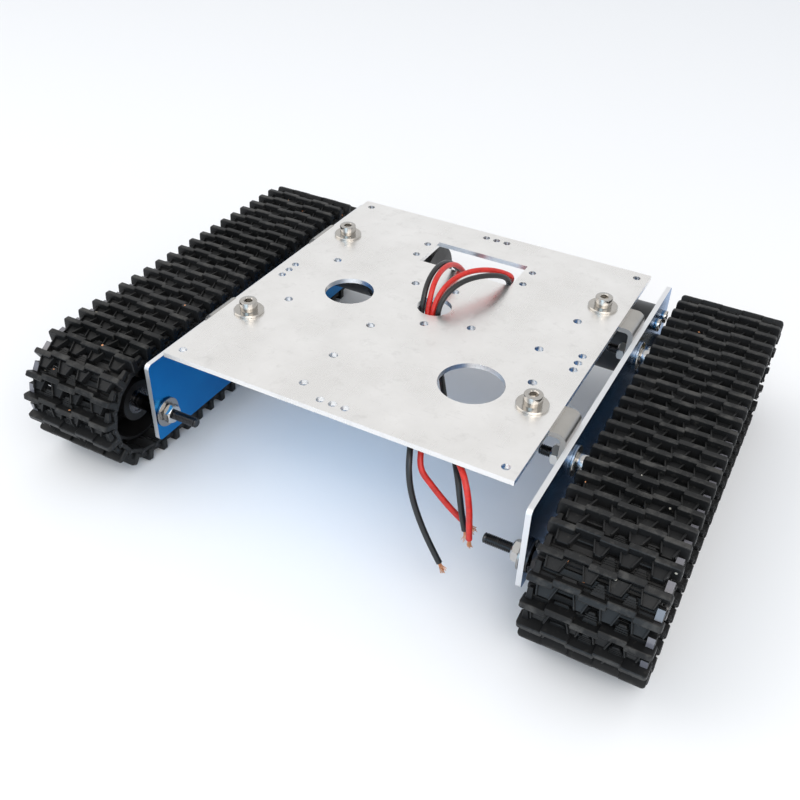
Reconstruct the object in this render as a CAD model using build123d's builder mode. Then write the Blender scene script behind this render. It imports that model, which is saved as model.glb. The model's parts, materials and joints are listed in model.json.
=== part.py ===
"""Tracked robot chassis: bare top plate, blue side plates, two gearmotors and two plastic tracks.

Millimetres.  +X is the right side, -Y the front, +Z up.  The origin is on the floor, under the
middle of the top plate.
"""
from build123d import *
from math import cos, degrees, pi, radians, sin, tan
import os

# ---- driving dimensions -------------------------------------------------------------------
DECK_TOP = 58.0                    # height of the top plate's upper face
DECK_T = 2.0
DECK_X, DECK_Y = 140.0, 150.0
WHEELBASE = 144.0                  # idler axle to drive shaft
AXLE_Z = 26.0

SIDE_IN, SIDE_OUT = 76.0, 78.0     # inner and outer face of a side plate, from the middle
SIDE_FRONT, SIDE_REAR = -78.0, 84.0
SIDE_BOTTOM, SIDE_TOP = 15.0, 51.0

SCREW_X = 60.0                     # deck screws
BRACKET_Y = (-35.5, 40.0)          # front and rear brackets
BRACKET_T, BRACKET_W = 2.0, 16.0
BRACKET_INNER, BRACKET_BOTTOM = 52.0, 33.0
BRACKET_BEND = 3.5
BOLT_Z = 40.5                      # bracket bolts, through the side plates

M4_R, M4_HOLE_R, M4_HEAD_R, M4_HEAD_H = 1.95, 2.15, 3.5, 4.0
M4_SOCKET_AF, M4_NUT_AF, M4_NUT_T = 3.0, 7.0, 3.2
WASHER_R, WASHER_T = 6.0, 1.0
M3_R, M3_HOLE_R, M3_HEAD_R, M3_HEAD_H = 1.45, 1.6, 2.75, 2.0

MOTOR_Y, MOTOR_Z, MOTOR_R = 67.0, 31.0, 16.5
GEARBOX_IN, CAN_IN, CAP_IN = 56.0, 30.0, 27.0      # inner ends along X
TERMINAL_IN = 23.0
SHAFT_R, SHAFT_IN, SHAFT_OUT = 3.0, 60.0, 94.0
BOSS_R, BOSS_OUT = 6.0, 80.5
MOTOR_SCREW_PCR = 12.5
MOTOR_SCREW_ANGLES = (48, 108, 168, 228)
RUN_FIT = 0.05                     # radial clearance of everything that turns

TRACK_X, TRACK_HALF = 104.75, 21.25
LINKS = 53
PIN_CURVE_R = 20.0                 # the pins' path round each wheel
PIN_R, PIN_BORE_R = 0.6, 0.75
LINK_HALF_T = 1.25
CLEAT_TOP = 6.0                    # above the pins' path
TEETH = 16
DRUM_R, DRUM_WALL, DRUM_HALF = 18.0, 2.5, 11.0
DISC_R, DISC_HALF = 16.6, 14.6
TOOTH_R = 19.05
HUB_R, WEB_HALF = 8.5, 2.0
COUPLER_IN, HEX_IN, HEX_OUT, HEX_AF = 82.0, 90.0, 99.0, 12.0
BEARING_R, BEARING_W = 5.5, 4.0
IDLER_IN, IDLER_OUT = 90.15, 120.0
AXLE_END = 61.0

LEAD_R, TIP_R, TIP_L = 1.1, 0.6, 5.0

DECK_Z = DECK_TOP - DECK_T
DRIVE_Y, IDLER_Y = WHEELBASE / 2, -WHEELBASE / 2
PITCH = (2 * WHEELBASE + 2 * pi * PIN_CURVE_R) / LINKS

os.makedirs("parts", exist_ok=True)


def save(name, part):
    """Label one finished piece and write its STEP file."""
    part.label = name
    export_step(part, f"parts/{name}.step")


def save_pair(name, right_part):
    """Write a right-hand piece and its mirror image on the left."""
    save(f"{name}_right", right_part)
    with BuildPart() as left:
        mirror(right_part, about=Plane.YZ)
    save(f"{name}_left", left.part)


def across(x, y=0.0, z=0.0):
    """A sketch plane facing +X whose x and y run along the chassis's Y and Z."""
    return Plane(origin=(x, y, z), x_dir=(0, 1, 0), z_dir=(1, 0, 0))


def hexagon(across_flats):
    return RegularPolygon(across_flats / 2, 6, major_radius=False)


# ---- top plate ----------------------------------------------------------------------------
EDGE_HOLE_R, BOARD_HOLE_R = 1.6, 1.75
EDGE_TRIPLES = [(-65, -5), (-65, 0), (-65, 5), (65, -8), (65, -3), (65, 2)]
EDGE_TRIPLES += [(x, y) for y in (-70, 70) for x in (-5, 0, 5)]
DRIVER_HOLES = [(x, y) for x in (-51.7, -13.7) for y in (-20.0, 17.6)]
BOARD_HOLES = [(3.6, 19.6), (3.6, -8.3), (55.0, 24.3), (55.0, -23.0)]
SPARE_HOLES = [(20.8, -1.7), (49.1, -1.7), (-15.3, -44.6), (-15.3, -64.6)]
SERVO_CUT = (42.4, 19.2, 45.5)     # width, depth and centre of the servo opening
SERVO_HOLES = [(x, y) for x in (-25.1, 25.1) for y in (40.1, 50.9)]
ROUND_CUTS = [(-34.0, -2.0, 10.0), (36.2, -34.6, 12.3), (1.4, 5.1, 7.0)]


def make_deck():
    """Bare aluminium deck with its pattern of board, servo and cable holes."""
    cut_x, cut_y, cut_centre = SERVO_CUT
    with BuildPart() as deck:
        with BuildSketch(Plane.XY.offset(DECK_Z)):
            Rectangle(DECK_X, DECK_Y)
            with Locations((0, cut_centre)):
                Rectangle(cut_x, cut_y, mode=Mode.SUBTRACT)
            with GridLocations(130, 140, 2, 2):
                Circle(EDGE_HOLE_R, mode=Mode.SUBTRACT)
            with Locations(*EDGE_TRIPLES, *SERVO_HOLES):
                Circle(EDGE_HOLE_R, mode=Mode.SUBTRACT)
            with Locations(*DRIVER_HOLES, *BOARD_HOLES, *SPARE_HOLES):
                Circle(BOARD_HOLE_R, mode=Mode.SUBTRACT)
            with Locations(*[(x, y) for x in (-SCREW_X, SCREW_X) for y in BRACKET_Y]):
                Circle(M4_HOLE_R, mode=Mode.SUBTRACT)
            for x, y, radius in ROUND_CUTS:
                with Locations((x, y)):
                    Circle(radius, mode=Mode.SUBTRACT)
        extrude(amount=DECK_T)
    return deck.part


def make_deck_screws():
    """Four M4 socket screws that hold the deck to its brackets."""
    with BuildPart() as screws:
        for y in BRACKET_Y:
            for x in (-SCREW_X, SCREW_X):
                head = Plane.XY.move(Location((x, y, DECK_TOP + WASHER_T)))
                cap_screw(head, length=10.0)
    return screws.part


def cap_screw(seat, length, head_r=M4_HEAD_R, head_h=M4_HEAD_H, shank_r=M4_R, af=M4_SOCKET_AF):
    """Socket cap screw: the head stands on the seat plane and the shank goes below it."""
    with BuildSketch(seat) as head:
        Circle(head_r)
    extrude(head.sketch, amount=head_h)
    with BuildSketch(seat) as shank:
        Circle(shank_r)
    extrude(shank.sketch, amount=-length)
    with BuildSketch(seat.offset(head_h)) as socket:
        hexagon(af)
    extrude(socket.sketch, amount=-head_h / 2, mode=Mode.SUBTRACT)


def washer(seat, outer_r=WASHER_R):
    """One flat washer standing on the seat plane."""
    with BuildSketch(seat) as ring:
        Circle(outer_r)
        Circle(M4_HOLE_R, mode=Mode.SUBTRACT)
    extrude(ring.sketch, amount=WASHER_T)


def nut(seat):
    """One M4 hexagon nut standing on the seat plane."""
    with BuildSketch(seat) as outline:
        hexagon(M4_NUT_AF)
        Circle(M4_R + RUN_FIT, mode=Mode.SUBTRACT)
    extrude(outline.sketch, amount=M4_NUT_T)


def make_deck_washers():
    with BuildPart() as washers:
        for y in BRACKET_Y:
            for x in (-SCREW_X, SCREW_X):
                washer(Plane.XY.move(Location((x, y, DECK_TOP))))
    return washers.part


def make_deck_nuts():
    with BuildPart() as nuts:
        for y in BRACKET_Y:
            for x in (-SCREW_X, SCREW_X):
                nut(Plane.XY.move(Location((x, y, DECK_Z - BRACKET_T - M4_NUT_T))))
    return nuts.part


# ---- brackets and side plates -------------------------------------------------------------
def make_bracket(y):
    """Bent bracket: a flange under the deck and one down the side plate's inner face."""
    low, high = DECK_Z - BRACKET_T, DECK_Z
    wall = SIDE_IN - BRACKET_T
    outline = [(BRACKET_INNER, low), (BRACKET_INNER, high), (SIDE_IN, high),
               (SIDE_IN, BRACKET_BOTTOM), (wall, BRACKET_BOTTOM), (wall, low)]
    with BuildPart() as bracket:
        with BuildSketch(Plane.XZ.offset(-y)) as profile:
            with BuildLine():
                Polyline(*outline, close=True)
            make_face()
            corners = profile.vertices()
            fillet(corners.sort_by_distance((SIDE_IN, high))[0], BRACKET_BEND)
            corners = profile.vertices()
            fillet(corners.sort_by_distance((wall, low))[0], BRACKET_BEND - BRACKET_T)
        extrude(amount=BRACKET_W / 2, both=True)
        with BuildSketch(Plane.XY.offset(low)):
            with Locations((SCREW_X, y)):
                Circle(M4_HOLE_R)
        extrude(amount=BRACKET_T, mode=Mode.SUBTRACT)
        with BuildSketch(across(wall, y, BOLT_Z)):
            Circle(M4_HOLE_R)
        extrude(amount=BRACKET_T, mode=Mode.SUBTRACT)
    return bracket.part


def motor_screw_spots():
    """Centres of the gearbox screws, in the side plate's Y and Z."""
    turns = [radians(angle) for angle in MOTOR_SCREW_ANGLES]
    return [(MOTOR_Y + MOTOR_SCREW_PCR * cos(a), MOTOR_Z + MOTOR_SCREW_PCR * sin(a)) for a in turns]


def make_side_plate():
    """Blue side plate with the axle, gearbox and bracket holes."""
    length, height = SIDE_REAR - SIDE_FRONT, SIDE_TOP - SIDE_BOTTOM
    centre = ((SIDE_REAR + SIDE_FRONT) / 2, (SIDE_TOP + SIDE_BOTTOM) / 2)
    with BuildPart() as plate:
        with BuildSketch(across(SIDE_IN)):
            with Locations(centre):
                RectangleRounded(length, height, 2.0)
            with Locations((IDLER_Y, AXLE_Z), *[(y, BOLT_Z) for y in BRACKET_Y]):
                Circle(M4_HOLE_R, mode=Mode.SUBTRACT)
            with Locations((DRIVE_Y, AXLE_Z)):
                Circle(BOSS_R + 0.3, mode=Mode.SUBTRACT)
            with Locations(*motor_screw_spots()):
                Circle(M3_HOLE_R, mode=Mode.SUBTRACT)
        extrude(amount=SIDE_OUT - SIDE_IN)
    return plate.part


def make_bracket_bolts():
    """Four M4 bolts through side plate and bracket, heads outside."""
    with BuildPart() as bolts:
        for side in (-1, 1):
            for y in BRACKET_Y:
                cap_screw(outward(side, SIDE_OUT + WASHER_T, y, BOLT_Z), length=14.0)
    return bolts.part


def outward(side, x, y, z):
    """A plane at distance x from the middle that faces away from the chassis."""
    return Plane(origin=(side * x, y, z), x_dir=(0, 1, 0), z_dir=(side, 0, 0))


def make_bracket_washers():
    with BuildPart() as washers:
        for side in (-1, 1):
            for y in BRACKET_Y:
                washer(outward(side, SIDE_OUT, y, BOLT_Z))
                washer(outward(side, SIDE_IN - BRACKET_T - WASHER_T, y, BOLT_Z), outer_r=4.5)
    return washers.part


def make_bracket_nuts():
    inner = SIDE_IN - BRACKET_T - WASHER_T - M4_NUT_T
    with BuildPart() as nuts:
        for side in (-1, 1):
            for y in BRACKET_Y:
                nut(outward(side, inner, y, BOLT_Z))
    return nuts.part


# ---- gearmotors ---------------------------------------------------------------------------
def make_gearbox():
    """Round gearbox case: closed at the side plate, with the shaft's boss, open at the can."""
    with BuildPart() as case:
        with BuildSketch(across(GEARBOX_IN, MOTOR_Y, MOTOR_Z)):
            Circle(MOTOR_R)
        extrude(amount=SIDE_IN - GEARBOX_IN)
        with BuildSketch(across(SIDE_IN, DRIVE_Y, AXLE_Z)):
            Circle(BOSS_R)
        extrude(amount=BOSS_OUT - SIDE_IN)
        with BuildSketch(across(GEARBOX_IN, MOTOR_Y, MOTOR_Z)):
            Circle(MOTOR_R - 1.5)
        extrude(amount=SIDE_IN - GEARBOX_IN - 5.0, mode=Mode.SUBTRACT)
        with BuildSketch(across(SHAFT_IN, DRIVE_Y, AXLE_Z)):
            Circle(SHAFT_R + RUN_FIT)
        extrude(amount=BOSS_OUT - SHAFT_IN, mode=Mode.SUBTRACT)
        with BuildSketch(across(SIDE_IN)):
            with Locations(*motor_screw_spots()):
                Circle(M3_R + RUN_FIT)
        extrude(amount=-5.0, mode=Mode.SUBTRACT)
    return case.part


def make_can():
    """Motor can: a drawn steel tube with the front closed round its shaft hole."""
    with BuildPart() as can:
        with BuildSketch(across(CAN_IN, MOTOR_Y, MOTOR_Z)):
            Circle(MOTOR_R - 0.5)
        extrude(amount=GEARBOX_IN - CAN_IN)
        with BuildSketch(across(CAN_IN, MOTOR_Y, MOTOR_Z)):
            Circle(MOTOR_R - 1.5)
        extrude(amount=GEARBOX_IN - CAN_IN - 1.5, mode=Mode.SUBTRACT)
        with BuildSketch(across(GEARBOX_IN, MOTOR_Y, MOTOR_Z)):
            Circle(4.0)
        extrude(amount=-2.0, mode=Mode.SUBTRACT)
    return can.part


TERMINAL_Y = (62.0, 72.0)


def make_end_cap():
    """Plastic end cap with a bearing boss and a slot for each terminal."""
    with BuildPart() as cap:
        with BuildSketch(across(CAP_IN, MOTOR_Y, MOTOR_Z)):
            Circle(MOTOR_R - 0.5)
        extrude(amount=CAN_IN - CAP_IN)
        with BuildSketch(across(CAP_IN, MOTOR_Y, MOTOR_Z)):
            Circle(3.5)
        extrude(amount=-1.5)
        with BuildSketch(across(CAP_IN)):
            with Locations(*[(y, MOTOR_Z) for y in TERMINAL_Y]):
                Rectangle(2.7, 0.8)
        extrude(amount=CAN_IN - CAP_IN, mode=Mode.SUBTRACT)
    return cap.part


def make_terminals():
    """Solder tabs of both motors."""
    with BuildPart() as tabs:
        for side in (-1, 1):
            for y in TERMINAL_Y:
                with BuildSketch(outward(side, TERMINAL_IN, y, MOTOR_Z)):
                    Rectangle(2.5, 0.5)
                extrude(amount=CAN_IN - TERMINAL_IN)
    return tabs.part


def make_gearbox_screws():
    """M3 screws through the side plates into the gearboxes."""
    with BuildPart() as screws:
        for side in (-1, 1):
            for y, z in motor_screw_spots():
                cap_screw(outward(side, SIDE_OUT, y, z), 6.0, M3_HEAD_R, M3_HEAD_H, M3_R, 2.0)
    return screws.part


def make_shaft():
    """Output shaft with its flat."""
    with BuildPart() as shaft:
        with BuildSketch(across(SHAFT_IN, DRIVE_Y, AXLE_Z)):
            Circle(SHAFT_R)
        extrude(amount=SHAFT_OUT - SHAFT_IN)
        with BuildSketch(across(BOSS_OUT + 0.5, DRIVE_Y, AXLE_Z + SHAFT_R)):
            Rectangle(2 * SHAFT_R, 1.0)
        extrude(amount=SHAFT_OUT - BOSS_OUT, mode=Mode.SUBTRACT)
    return shaft.part


SET_SCREW_X, SET_SCREW_L = 86.0, 2.3


def make_coupler():
    """Brass hub on the motor shaft: a round collar, then a hexagon that turns the sprocket."""
    bore = SHAFT_R + 0.02
    with BuildPart() as coupler:
        with BuildSketch(across(COUPLER_IN, DRIVE_Y, AXLE_Z)):
            Circle(BEARING_R)
        extrude(amount=HEX_IN - COUPLER_IN)
        with BuildSketch(across(HEX_IN, DRIVE_Y, AXLE_Z)):
            hexagon(HEX_AF)
        extrude(amount=HEX_OUT - HEX_IN)
        with BuildSketch(across(COUPLER_IN, DRIVE_Y, AXLE_Z)):
            Circle(bore)
        extrude(amount=SHAFT_OUT + 0.5 - COUPLER_IN, mode=Mode.SUBTRACT)
        with BuildSketch(across(HEX_OUT, DRIVE_Y, AXLE_Z)):
            Circle(M4_R + RUN_FIT)
        extrude(amount=SHAFT_OUT - HEX_OUT, mode=Mode.SUBTRACT)
        with BuildSketch(Plane.XY.move(Location((SET_SCREW_X, DRIVE_Y, AXLE_Z)))):
            Circle(M3_HOLE_R)
        extrude(amount=BEARING_R, mode=Mode.SUBTRACT)
    return coupler.part


def make_set_screw():
    """Grub screw that bears on the shaft's flat."""
    top = Plane.XY.move(Location((SET_SCREW_X, DRIVE_Y, AXLE_Z + BEARING_R)))
    with BuildPart() as grub:
        with BuildSketch(top):
            Circle(M3_R)
        extrude(amount=-SET_SCREW_L)
        with BuildSketch(top):
            hexagon(1.5)
        extrude(amount=-1.2, mode=Mode.SUBTRACT)
    return grub.part


# ---- wheels -------------------------------------------------------------------------------
def wheel_body(centre_y, hub_in, hub_out):
    """Drum, two side rings, web and hub, inside the current part."""
    for half, radius in ((DRUM_HALF, DRUM_R), (DISC_HALF, DISC_R)):
        with BuildSketch(across(TRACK_X - half, centre_y, AXLE_Z)) as ring:
            Circle(radius)
            Circle(DRUM_R - DRUM_WALL, mode=Mode.SUBTRACT)
        extrude(ring.sketch, amount=2 * half)
    with BuildSketch(across(TRACK_X - WEB_HALF, centre_y, AXLE_Z)) as web:
        Circle(DRUM_R - DRUM_WALL / 2)
        with PolarLocations((HUB_R + DRUM_R - DRUM_WALL) / 2, 6):
            Circle(2.4, mode=Mode.SUBTRACT)
    extrude(web.sketch, amount=2 * WEB_HALF)
    with BuildSketch(across(hub_in, centre_y, AXLE_Z)) as hub:
        Circle(HUB_R)
    extrude(hub.sketch, amount=hub_out - hub_in)


def tooth_rings(centre_y):
    """Sixteen blunt teeth on each side ring."""
    half_root, half_tip = 1.9, 1.0
    tooth = [(DISC_R - 0.8, -half_root), (TOOTH_R, -half_tip), (TOOTH_R, half_tip),
             (DISC_R - 0.8, half_root)]
    width = DISC_HALF - DRUM_HALF
    for ring_in in (TRACK_X - DISC_HALF, TRACK_X + DRUM_HALF):
        with BuildSketch(across(ring_in, centre_y, AXLE_Z)) as teeth:
            with PolarLocations(0, TEETH, start_angle=tooth_phase()):
                Polygon(*tooth, align=None)
        extrude(teeth.sketch, amount=width)


def make_sprocket():
    """Drive sprocket, pocketed for the coupler's hexagon and drilled for its screw."""
    with BuildPart() as sprocket:
        wheel_body(DRIVE_Y, IDLER_IN, TRACK_X + WEB_HALF)
        tooth_rings(DRIVE_Y)
        with BuildSketch(across(IDLER_IN, DRIVE_Y, AXLE_Z)):
            hexagon(HEX_AF + 0.1)
        extrude(amount=HEX_OUT + 0.1 - IDLER_IN, mode=Mode.SUBTRACT)
        with BuildSketch(across(IDLER_IN, DRIVE_Y, AXLE_Z)):
            Circle(M4_HOLE_R)
        extrude(amount=TRACK_X - IDLER_IN + WEB_HALF, mode=Mode.SUBTRACT)
    return sprocket.part


def make_sprocket_screw():
    """M4 screw and washer that keep the sprocket on its coupler."""
    with BuildPart() as screw:
        cap_screw(across(TRACK_X + WEB_HALF + WASHER_T, DRIVE_Y, AXLE_Z), length=12.0)
    return screw.part


def make_sprocket_washer():
    with BuildPart() as disc:
        washer(across(TRACK_X + WEB_HALF, DRIVE_Y, AXLE_Z))
    return disc.part


def make_idler():
    """Front wheel: the same drum with smooth side rings and a seat for a bearing at each end."""
    with BuildPart() as idler:
        wheel_body(IDLER_Y, IDLER_IN, IDLER_OUT)
        with BuildSketch(across(IDLER_IN, IDLER_Y, AXLE_Z)):
            Circle(BEARING_R - 0.5)
        extrude(amount=IDLER_OUT - IDLER_IN, mode=Mode.SUBTRACT)
        for seat in (IDLER_IN, IDLER_OUT - BEARING_W):
            with BuildSketch(across(seat, IDLER_Y, AXLE_Z)):
                Circle(BEARING_R)
            extrude(amount=BEARING_W, mode=Mode.SUBTRACT)
    return idler.part


def make_bearings():
    """The idler's two ball bearings, as plain rings with a shallow shield groove."""
    with BuildPart() as bearings:
        for seat in (IDLER_IN, IDLER_OUT - BEARING_W):
            with BuildSketch(across(seat, IDLER_Y, AXLE_Z)):
                Circle(BEARING_R - 0.01)
                Circle(M4_R + RUN_FIT, mode=Mode.SUBTRACT)
            extrude(amount=BEARING_W)
        for face, depth in ((IDLER_IN, 0.3), (IDLER_OUT, -0.3)):
            with BuildSketch(across(face, IDLER_Y, AXLE_Z)):
                Circle(4.5)
                Circle(3.0, mode=Mode.SUBTRACT)
            extrude(amount=depth, mode=Mode.SUBTRACT)
    return bearings.part


def make_axle_bolts():
    """Long M4 bolts that the idlers turn on."""
    with BuildPart() as bolts:
        for side in (-1, 1):
            head = outward(side, IDLER_OUT + WASHER_T, IDLER_Y, AXLE_Z)
            cap_screw(head, length=IDLER_OUT + WASHER_T - AXLE_END)
    return bolts.part


def make_axle_washers():
    """A washer each side of the plate, and a small one under each bolt's head."""
    with BuildPart() as washers:
        for side in (-1, 1):
            for x, radius in ((SIDE_IN - WASHER_T, WASHER_R), (SIDE_OUT, WASHER_R), (IDLER_OUT, 3.4)):
                washer(outward(side, x, IDLER_Y, AXLE_Z), outer_r=radius)
    return washers.part


def make_axle_nuts():
    """Nuts that clamp each axle bolt to its side plate, one inside and one outside."""
    with BuildPart() as nuts:
        for side in (-1, 1):
            for x in (SIDE_IN - WASHER_T - M4_NUT_T, SIDE_OUT + WASHER_T):
                nut(outward(side, x, IDLER_Y, AXLE_Z))
    return nuts.part


def make_axle_spacer():
    """Sleeve between the outer nut and the idler's inner bearing."""
    start = SIDE_OUT + WASHER_T + M4_NUT_T
    with BuildPart() as spacer:
        with BuildSketch(across(start, IDLER_Y, AXLE_Z)):
            Circle(3.0)
            Circle(M4_R + RUN_FIT, mode=Mode.SUBTRACT)
        extrude(amount=IDLER_IN - 0.1 - start)
    return spacer.part


# ---- tracks -------------------------------------------------------------------------------
MIDDLE_HALF = 11.0                 # the link's middle section, on the drum
LANE_OUT = 15.1                    # the teeth's lanes end here and the outer sections begin
LINK_Y = PITCH / 2 - 1.8           # half length of a link's plate
CLEAT_HALF, STAGGER, CLEAT_CORNER_R = 1.3, 0.6, 3.0
LEADING_KNUCKLES = [(-21.0, -18.2), (-5.3, 5.3), (18.2, 21.0)]
TRAILING_KNUCKLES = [(-17.9, -15.2), (-10.9, -5.6), (5.6, 10.9), (15.2, 17.9)]


def pin_place(distance):
    """Y and Z of the pins' path, a distance along it from the idler's top, going rearward."""
    arc = pi * PIN_CURVE_R
    distance = distance % (2 * WHEELBASE + 2 * arc)
    if distance < WHEELBASE:
        return IDLER_Y + distance, AXLE_Z + PIN_CURVE_R
    if distance < WHEELBASE + arc:
        turn = (distance - WHEELBASE) / PIN_CURVE_R
        return DRIVE_Y + PIN_CURVE_R * sin(turn), AXLE_Z + PIN_CURVE_R * cos(turn)
    if distance < 2 * WHEELBASE + arc:
        return DRIVE_Y - (distance - WHEELBASE - arc), AXLE_Z - PIN_CURVE_R
    turn = (distance - 2 * WHEELBASE - arc) / PIN_CURVE_R
    return IDLER_Y - PIN_CURVE_R * sin(turn), AXLE_Z - PIN_CURVE_R * cos(turn)


def tooth_phase():
    """Angle that sets a tooth half way between the two pins nearest the sprocket's rear."""
    quarter = WHEELBASE + pi * PIN_CURVE_R / 2
    middle = (int(quarter / PITCH) + 0.5) * PITCH
    return -degrees((middle - quarter) / PIN_CURVE_R)


def link_planes():
    """A plane on each link, half way between its pins, facing out of the loop."""
    planes = []
    for number in range(LINKS):
        (y0, z0), (y1, z1) = pin_place(number * PITCH), pin_place((number + 1) * PITCH)
        normal = (0, z0 - z1, y1 - y0)
        planes.append(Plane(origin=(TRACK_X, (y0 + y1) / 2, (z0 + z1) / 2),
                            x_dir=(1, 0, 0), z_dir=normal))
    return planes


def make_link():
    """One track link: three plates, hinge knuckles, and a staggered cleat that joins them."""
    outer = (TRACK_HALF + LANE_OUT) / 2
    with BuildPart() as link:
        with BuildSketch(Plane.XY.offset(-LINK_HALF_T)):
            Rectangle(2 * MIDDLE_HALF, 2 * LINK_Y)
            with Locations((-outer, 0), (outer, 0)):
                Rectangle(TRACK_HALF - LANE_OUT, 2 * LINK_Y)
            for end, spans in ((1, LEADING_KNUCKLES), (-1, TRAILING_KNUCKLES)):
                for low, high in spans:
                    with Locations(((low + high) / 2, end * (LINK_Y + PITCH / 2) / 2)):
                        Rectangle(high - low, PITCH / 2 - LINK_Y)
        extrude(amount=2 * LINK_HALF_T)
        for end, spans in ((1, LEADING_KNUCKLES), (-1, TRAILING_KNUCKLES)):
            for low, high in spans:
                with BuildSketch(across(low, end * PITCH / 2)):
                    Circle(LINK_HALF_T)
                extrude(amount=high - low)
        with BuildSketch(across(-TRACK_HALF)):
            with Locations((-PITCH / 2, 0), (PITCH / 2, 0)):
                Circle(PIN_BORE_R)
        extrude(amount=2 * TRACK_HALF, mode=Mode.SUBTRACT)
        cleat()
    return link.part


def cleat():
    """Full-width cleat in five staggered steps, with its outer corners rounded off."""
    step = 2 * TRACK_HALF / 5
    with BuildSketch(Plane.XY.offset(LINK_HALF_T)) as steps:
        for index in range(5):
            middle = -TRACK_HALF + (index + 0.5) * step
            with Locations((middle, STAGGER if index % 2 else -STAGGER)):
                Rectangle(step, 2 * CLEAT_HALF)
    extrude(steps.sketch, amount=CLEAT_TOP - LINK_HALF_T)
    with BuildSketch(Plane.XZ.offset(-PITCH)) as envelope:
        RectangleRounded(2 * TRACK_HALF, 2 * CLEAT_TOP, CLEAT_CORNER_R)
    extrude(envelope.sketch, amount=2 * PITCH, mode=Mode.INTERSECT)


def make_track_links():
    """Every link of one track, each a separate solid."""
    link = make_link()
    with BuildPart() as track:
        with Locations(*link_planes()):
            add(link, clean=False)
    return track.part


def make_track_pins():
    """The hinge pins of one track."""
    half = TRACK_HALF - 0.4
    with BuildPart() as pins:
        with BuildSketch(across(TRACK_X - half)):
            with Locations(*[pin_place(number * PITCH) for number in range(LINKS)]):
                Circle(PIN_R)
        extrude(amount=2 * half)
    return pins.part


# ---- motor leads --------------------------------------------------------------------------
LEADS = {
    "lead_black_left": [
        (-23, 72, 31), (-15, 72, 31.4), (-9.4, 66.8, 35), (-7.8, 58, 42), (-6.6, 49.6, 48.6),
        (-5.8, 41.8, 55.6), (-5.6, 34, 62.4), (-5.6, 25.6, 66.2), (-5.2, 17, 67), (-4.2, 9, 65.2),
        (-3.2, 4, 60.4), (-3, 2.2, 53), (-1.2, -4.4, 46.8), (5, -17, 44.6), (13.4, -33.6, 45.6),
        (21.2, -50, 48.4), (27.4, -63, 52), (31.4, -71.8, 52), (33.6, -76.6, 46.2), (35.8, -77.6, 37.2),
        (39.6, -78.4, 28.4), (44.1, -79.2, 20.6), (48.6, -79.8, 14)],
    "lead_red_left": [
        (-23, 62, 31), (-15, 62, 31.6), (-8.4, 58.4, 36.4), (-4.4, 50.8, 45.4), (-3.2, 43.2, 54),
        (-3, 35.4, 61.2), (-3, 27, 65.6), (-2.6, 18.2, 67), (-1.6, 10.4, 66.2), (-0.6, 5, 62.2),
        (-0.4, 2.8, 55.2), (1, -3.2, 48.4), (7.2, -14.6, 44.8), (16, -32, 45), (24.6, -48.6, 47.6),
        (30.4, -60, 50.6), (33.6, -67.8, 51), (35.6, -72.2, 45.6), (39.6, -71.6, 40.4), (45, -71.4, 34.8),
        (50.2, -71.2, 30.2), (53.8, -71, 27.8)],
    "lead_red_right": [
        (23, 62, 31), (16, 62, 31.2), (11.2, 58.6, 35.6), (12.4, 52.8, 43.2), (16.2, 48.2, 51.2),
        (19.6, 42.8, 58.4), (17.2, 36.6, 63), (12.6, 30.4, 66), (7.8, 22.8, 67.4), (4.6, 15.2, 66.8),
        (3, 8.4, 64.8), (2.3, 3.6, 60.6), (2, 1.6, 54.4), (4, -3.8, 48.4), (11.4, -15.6, 45),
        (22.4, -33.5, 45.4), (34, -51.6, 48.2), (43.4, -64, 52), (51, -72.8, 53.4), (55.2, -77, 49.4),
        (56.8, -77.6, 42.4), (57.4, -77.6, 35), (57.8, -77.5, 28.2)],
    "lead_black_right": [
        (23, 72, 31), (15.4, 72, 31.2), (8.6, 67, 32.4), (6.6, 58.6, 35), (10.6, 51, 40.4),
        (15.6, 45.2, 47.6), (19, 41, 54.8), (19.4, 36.4, 61.2), (17, 29.2, 65.2), (13, 21.2, 67.4),
        (9.2, 14, 67.6), (6.2, 7.2, 65.4), (4.8, 2.6, 61.2), (4.4, 1.8, 55), (7, -4, 49.8),
        (14.8, -15.6, 46.8), (26, -34, 46.6), (36.4, -51, 46.6), (43.4, -62.4, 48.2), (49.2, -71, 47),
        (51.8, -74, 41.2), (53.2, -74.2, 34), (54.4, -73.7, 27.6)],
}
SMALLEST_BEND = 6 * LEAD_R


def bend_radii(route):
    """Radius of each arc: 0.45 of its shorter run, over the tangent of half the turn."""
    points = [Vector(*point) for point in route]
    radii = []
    for before, corner, after in zip(points, points[1:], points[2:]):
        into, out = corner - before, after - corner
        turn = into.get_angle(out)
        radii.append(0.45 * min(into.length, out.length) / tan(radians(turn / 2)))
    return radii


def make_lead(name):
    """One insulated lead, as a tube along its route."""
    route = LEADS[name]
    radii = bend_radii(route)
    with BuildPart() as lead:
        with BuildLine() as path:
            FilletPolyline(*route, radius=radii)
        wire = path.wire()
        with BuildSketch(Plane(origin=wire @ 0, z_dir=wire % 0)):
            Circle(LEAD_R)
        sweep()
    length = wire.length
    print(f"{name}: {length:.1f} mm, smallest bend {min(radii):.1f} of {SMALLEST_BEND:.1f},",
          f"volume ratio {lead.part.volume / (pi * LEAD_R ** 2 * length):.4f}")
    return lead.part


def make_tip(name):
    """The lead's stripped copper end."""
    last, end = Vector(*LEADS[name][-2]), Vector(*LEADS[name][-1])
    with BuildPart() as tip:
        with BuildSketch(Plane(origin=end, z_dir=end - last)):
            Circle(TIP_R)
        extrude(amount=TIP_L)
    return tip.part


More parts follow.
